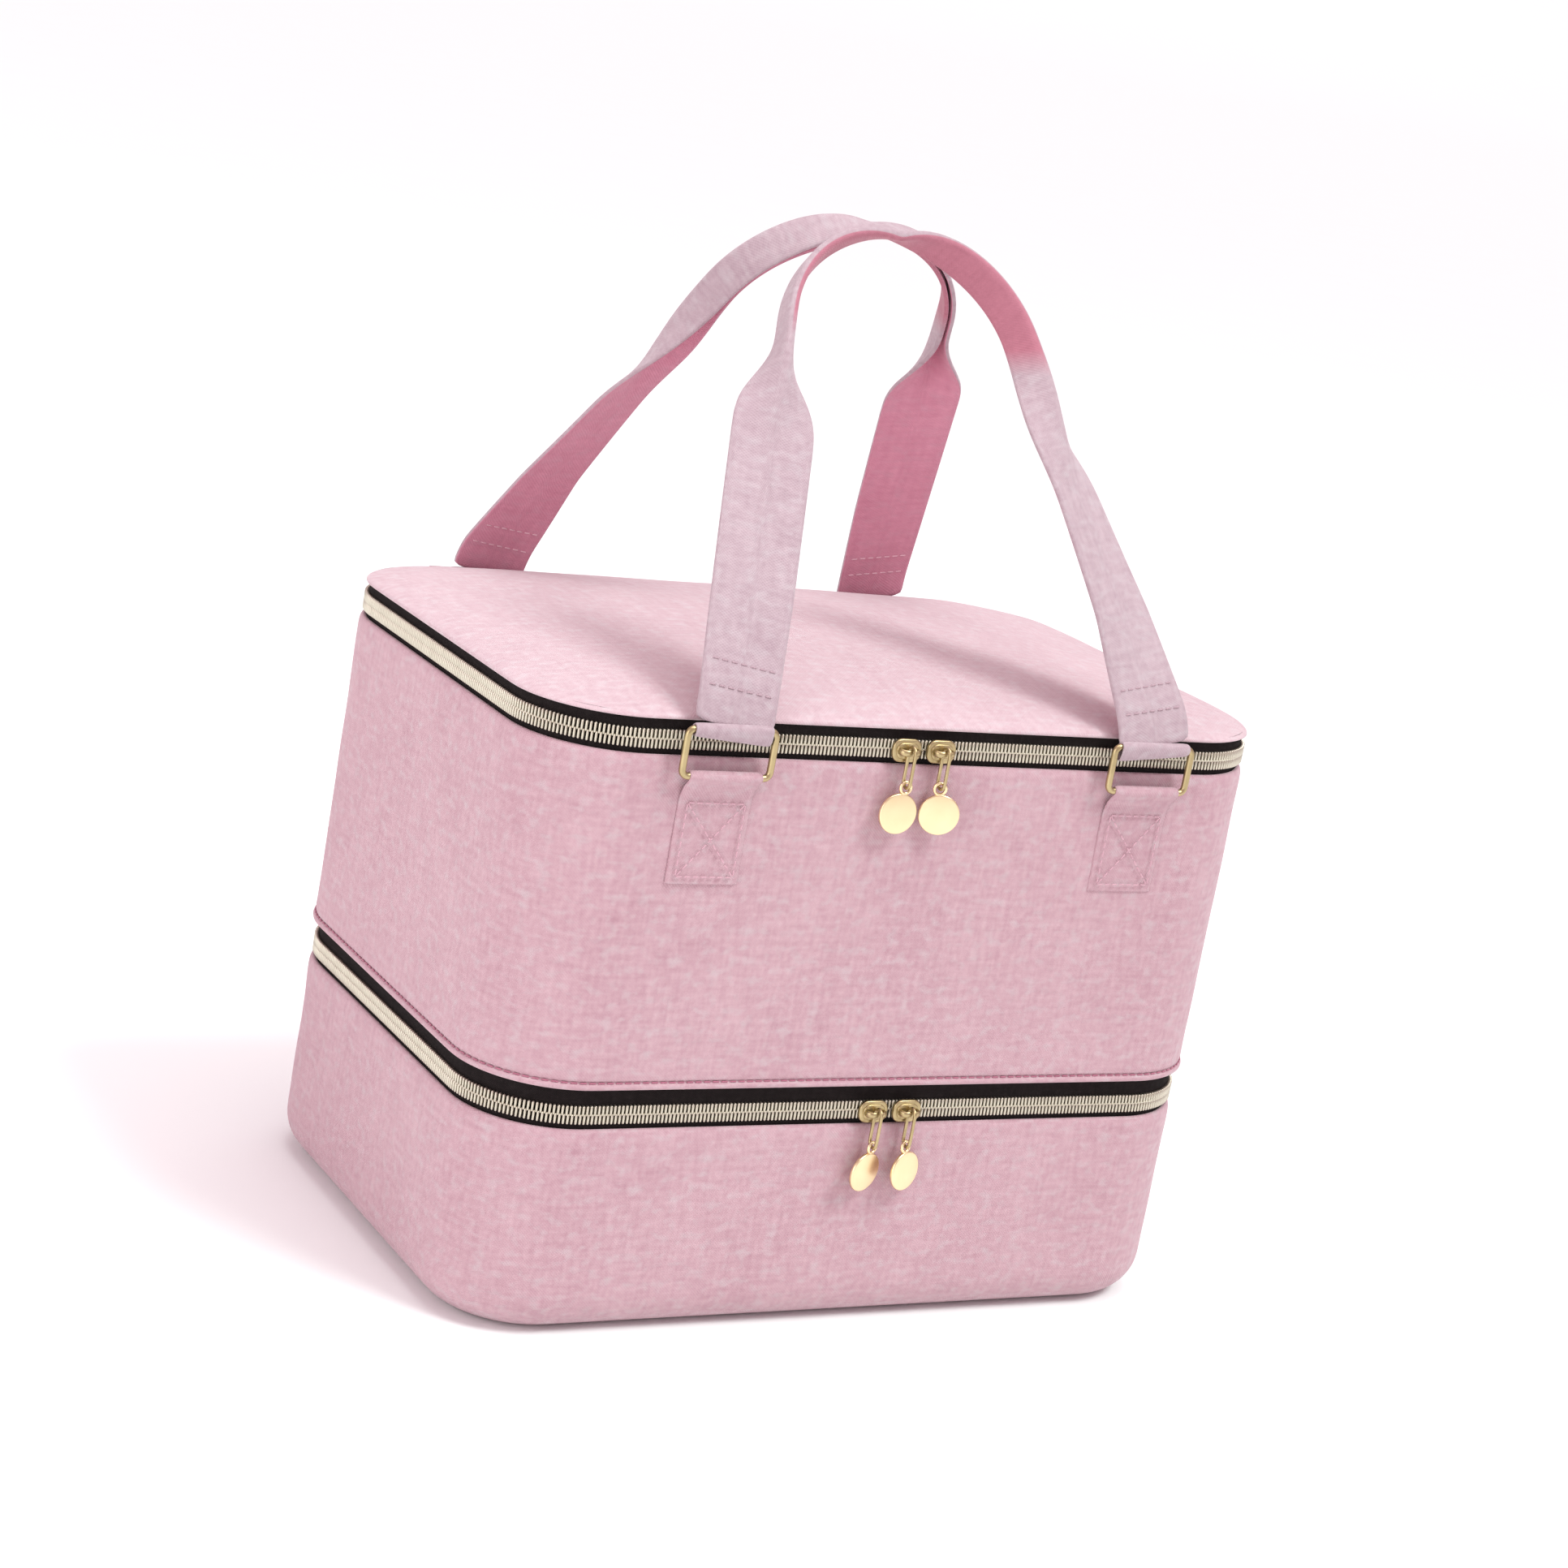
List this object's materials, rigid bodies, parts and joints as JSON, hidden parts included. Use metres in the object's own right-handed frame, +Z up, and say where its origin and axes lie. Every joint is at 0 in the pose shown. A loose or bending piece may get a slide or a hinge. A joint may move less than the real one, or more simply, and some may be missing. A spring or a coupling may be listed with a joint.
{
  "type": "nail polish carry case",
  "caption": "Soft two-tier zipped carry case with a crowned hinged lid, a divided bottle compartment above a shallow tray, ringed strap handles and disc zip pulls.",
  "frame": {"origin": "centre of the face that the tray stands on", "axes": "+Z up, +X along the length to the right as seen from the front, -Y to the front with the zip pulls"},
  "size_m": [0.3, 0.218, 0.3857],
  "materials": {
    "canvas": "woven melange canvas",
    "lining_cloth": "smooth woven lining",
    "divider_cloth": "padded felt",
    "zip_tape": "black woven tape",
    "zip_coil": "metallised coil",
    "gold_metal": "polished light gold",
    "stiff_board": "pressed sheet"
  },
  "bodies": {
    "tray": {"tray_shell": "canvas", "tray_lining": "lining_cloth", "tray_board": "stiff_board", "tray_zip_tape_lower": "zip_tape", "tray_zip_coil_lower": "zip_coil", "tray_hinge_sleeve": "canvas"},
    "case": {"case_shell": "canvas", "case_lining": "lining_cloth", "case_board": "stiff_board", "long_dividers": "divider_cloth", "cross_dividers": "divider_cloth", "tray_zip_tape_upper": "zip_tape", "tray_zip_coil_upper": "zip_coil", "case_hinge_roll": "canvas", "lid_zip_tape_lower": "zip_tape", "lid_zip_coil_lower": "zip_coil", "lid_hinge_sleeve": "canvas", "front_left_tab": "canvas", "front_right_tab": "canvas", "rear_left_tab": "canvas", "rear_right_tab": "canvas"},
    "lid": {"lid_panel": "canvas", "lid_lining": "lining_cloth", "lid_zip_tape_upper": "zip_tape", "lid_zip_coil_upper": "zip_coil", "lid_hinge_roll": "canvas"},
    "front_rings": {"front_left_ring": "gold_metal", "front_right_ring": "gold_metal"},
    "rear_rings": {"rear_left_ring": "gold_metal", "rear_right_ring": "gold_metal"},
    "front_handle": {"front_strap": "canvas"},
    "rear_handle": {"rear_strap": "canvas"},
    "lid_slider_left": {"lid_slider_left": "gold_metal"},
    "lid_link_left": {"lid_link_left": "gold_metal"},
    "lid_disc_left": {"lid_disc_left": "gold_metal"},
    "lid_slider_right": {"lid_slider_right": "gold_metal"},
    "lid_link_right": {"lid_link_right": "gold_metal"},
    "lid_disc_right": {"lid_disc_right": "gold_metal"},
    "tray_slider_left": {"tray_slider_left": "gold_metal"},
    "tray_link_left": {"tray_link_left": "gold_metal"},
    "tray_disc_left": {"tray_disc_left": "gold_metal"},
    "tray_slider_right": {"tray_slider_right": "gold_metal"},
    "tray_link_right": {"tray_link_right": "gold_metal"},
    "tray_disc_right": {"tray_disc_right": "gold_metal"}
  },
  "joints": [
    {"name": "case_tilt", "type": "hinge", "parent": "tray", "child": "case", "pos_m": [0, 0.098, 0.083], "axis": [-1, 0, 0], "range_deg": [0, 90]},
    {"name": "lid_hinge", "type": "hinge", "parent": "case", "child": "lid", "pos_m": [0, 0.098, 0.2168], "axis": [-1, 0, 0], "range_deg": [0, 100]},
    {"name": "front_ring_swing", "type": "hinge", "parent": "case", "child": "front_rings", "pos_m": [0, -0.10546, 0.206], "axis": [1, 0, 0], "range_deg": [0, 140]},
    {"name": "rear_ring_swing", "type": "hinge", "parent": "case", "child": "rear_rings", "pos_m": [0, 0.10546, 0.206], "axis": [-1, 0, 0], "range_deg": [0, 100]},
    {"name": "front_strap_swing", "type": "hinge", "parent": "front_rings", "child": "front_handle", "pos_m": [0, -0.10546, 0.2224], "axis": [1, 0, 0], "range_deg": [0, 60]},
    {"name": "rear_strap_swing", "type": "hinge", "parent": "rear_rings", "child": "rear_handle", "pos_m": [0, 0.10546, 0.2224], "axis": [-1, 0, 0], "range_deg": [0, 60]},
    {"name": "lid_zip_run_left", "type": "slide", "parent": "case", "child": "lid_slider_left", "axis": [-1, 0, 0], "range_m": [0, 0.036]},
    {"name": "lid_link_swing_left", "type": "hinge", "parent": "lid_slider_left", "child": "lid_link_left", "pos_m": [-0.015, -0.10563, 0.2168], "axis": [-1, 0, 0], "range_deg": [0, 110]},
    {"name": "lid_disc_swing_left", "type": "hinge", "parent": "lid_link_left", "child": "lid_disc_left", "pos_m": [-0.015, -0.10563, 0.20452], "axis": [0, 1, 0], "range_deg": [0, 25]},
    {"name": "lid_zip_run_right", "type": "slide", "parent": "case", "child": "lid_slider_right", "axis": [1, 0, 0], "range_m": [0, 0.05]},
    {"name": "lid_link_swing_right", "type": "hinge", "parent": "lid_slider_right", "child": "lid_link_right", "pos_m": [-0.001, -0.10563, 0.2168], "axis": [-1, 0, 0], "range_deg": [0, 110]},
    {"name": "lid_disc_swing_right", "type": "hinge", "parent": "lid_link_right", "child": "lid_disc_right", "pos_m": [-0.001, -0.10563, 0.20452], "axis": [0, -1, 0], "range_deg": [0, 25]},
    {"name": "tray_zip_run_left", "type": "slide", "parent": "tray", "child": "tray_slider_left", "axis": [-1, 0, 0], "range_m": [0, 0.1]},
    {"name": "tray_link_swing_left", "type": "hinge", "parent": "tray_slider_left", "child": "tray_link_left", "pos_m": [-0.0005, -0.10563, 0.083], "axis": [-1, 0, 0], "range_deg": [0, 110]},
    {"name": "tray_disc_swing_left", "type": "hinge", "parent": "tray_link_left", "child": "tray_disc_left", "pos_m": [-0.0005, -0.10563, 0.07072], "axis": [0, 1, 0], "range_deg": [0, 25]},
    {"name": "tray_zip_run_right", "type": "slide", "parent": "tray", "child": "tray_slider_right", "axis": [1, 0, 0], "range_m": [0, 0.09]},
    {"name": "tray_link_swing_right", "type": "hinge", "parent": "tray_slider_right", "child": "tray_link_right", "pos_m": [0.0135, -0.10563, 0.083], "axis": [-1, 0, 0], "range_deg": [0, 110]},
    {"name": "tray_disc_swing_right", "type": "hinge", "parent": "tray_link_right", "child": "tray_disc_right", "pos_m": [0.0135, -0.10563, 0.07072], "axis": [0, -1, 0], "range_deg": [0, 25]}
  ],
  "couplings": [
    {"joint": "front_ring_swing", "follows": "lid_hinge", "ratio": 1.4},
    {"joint": "rear_ring_swing", "follows": "lid_hinge", "ratio": 1}
  ]
}
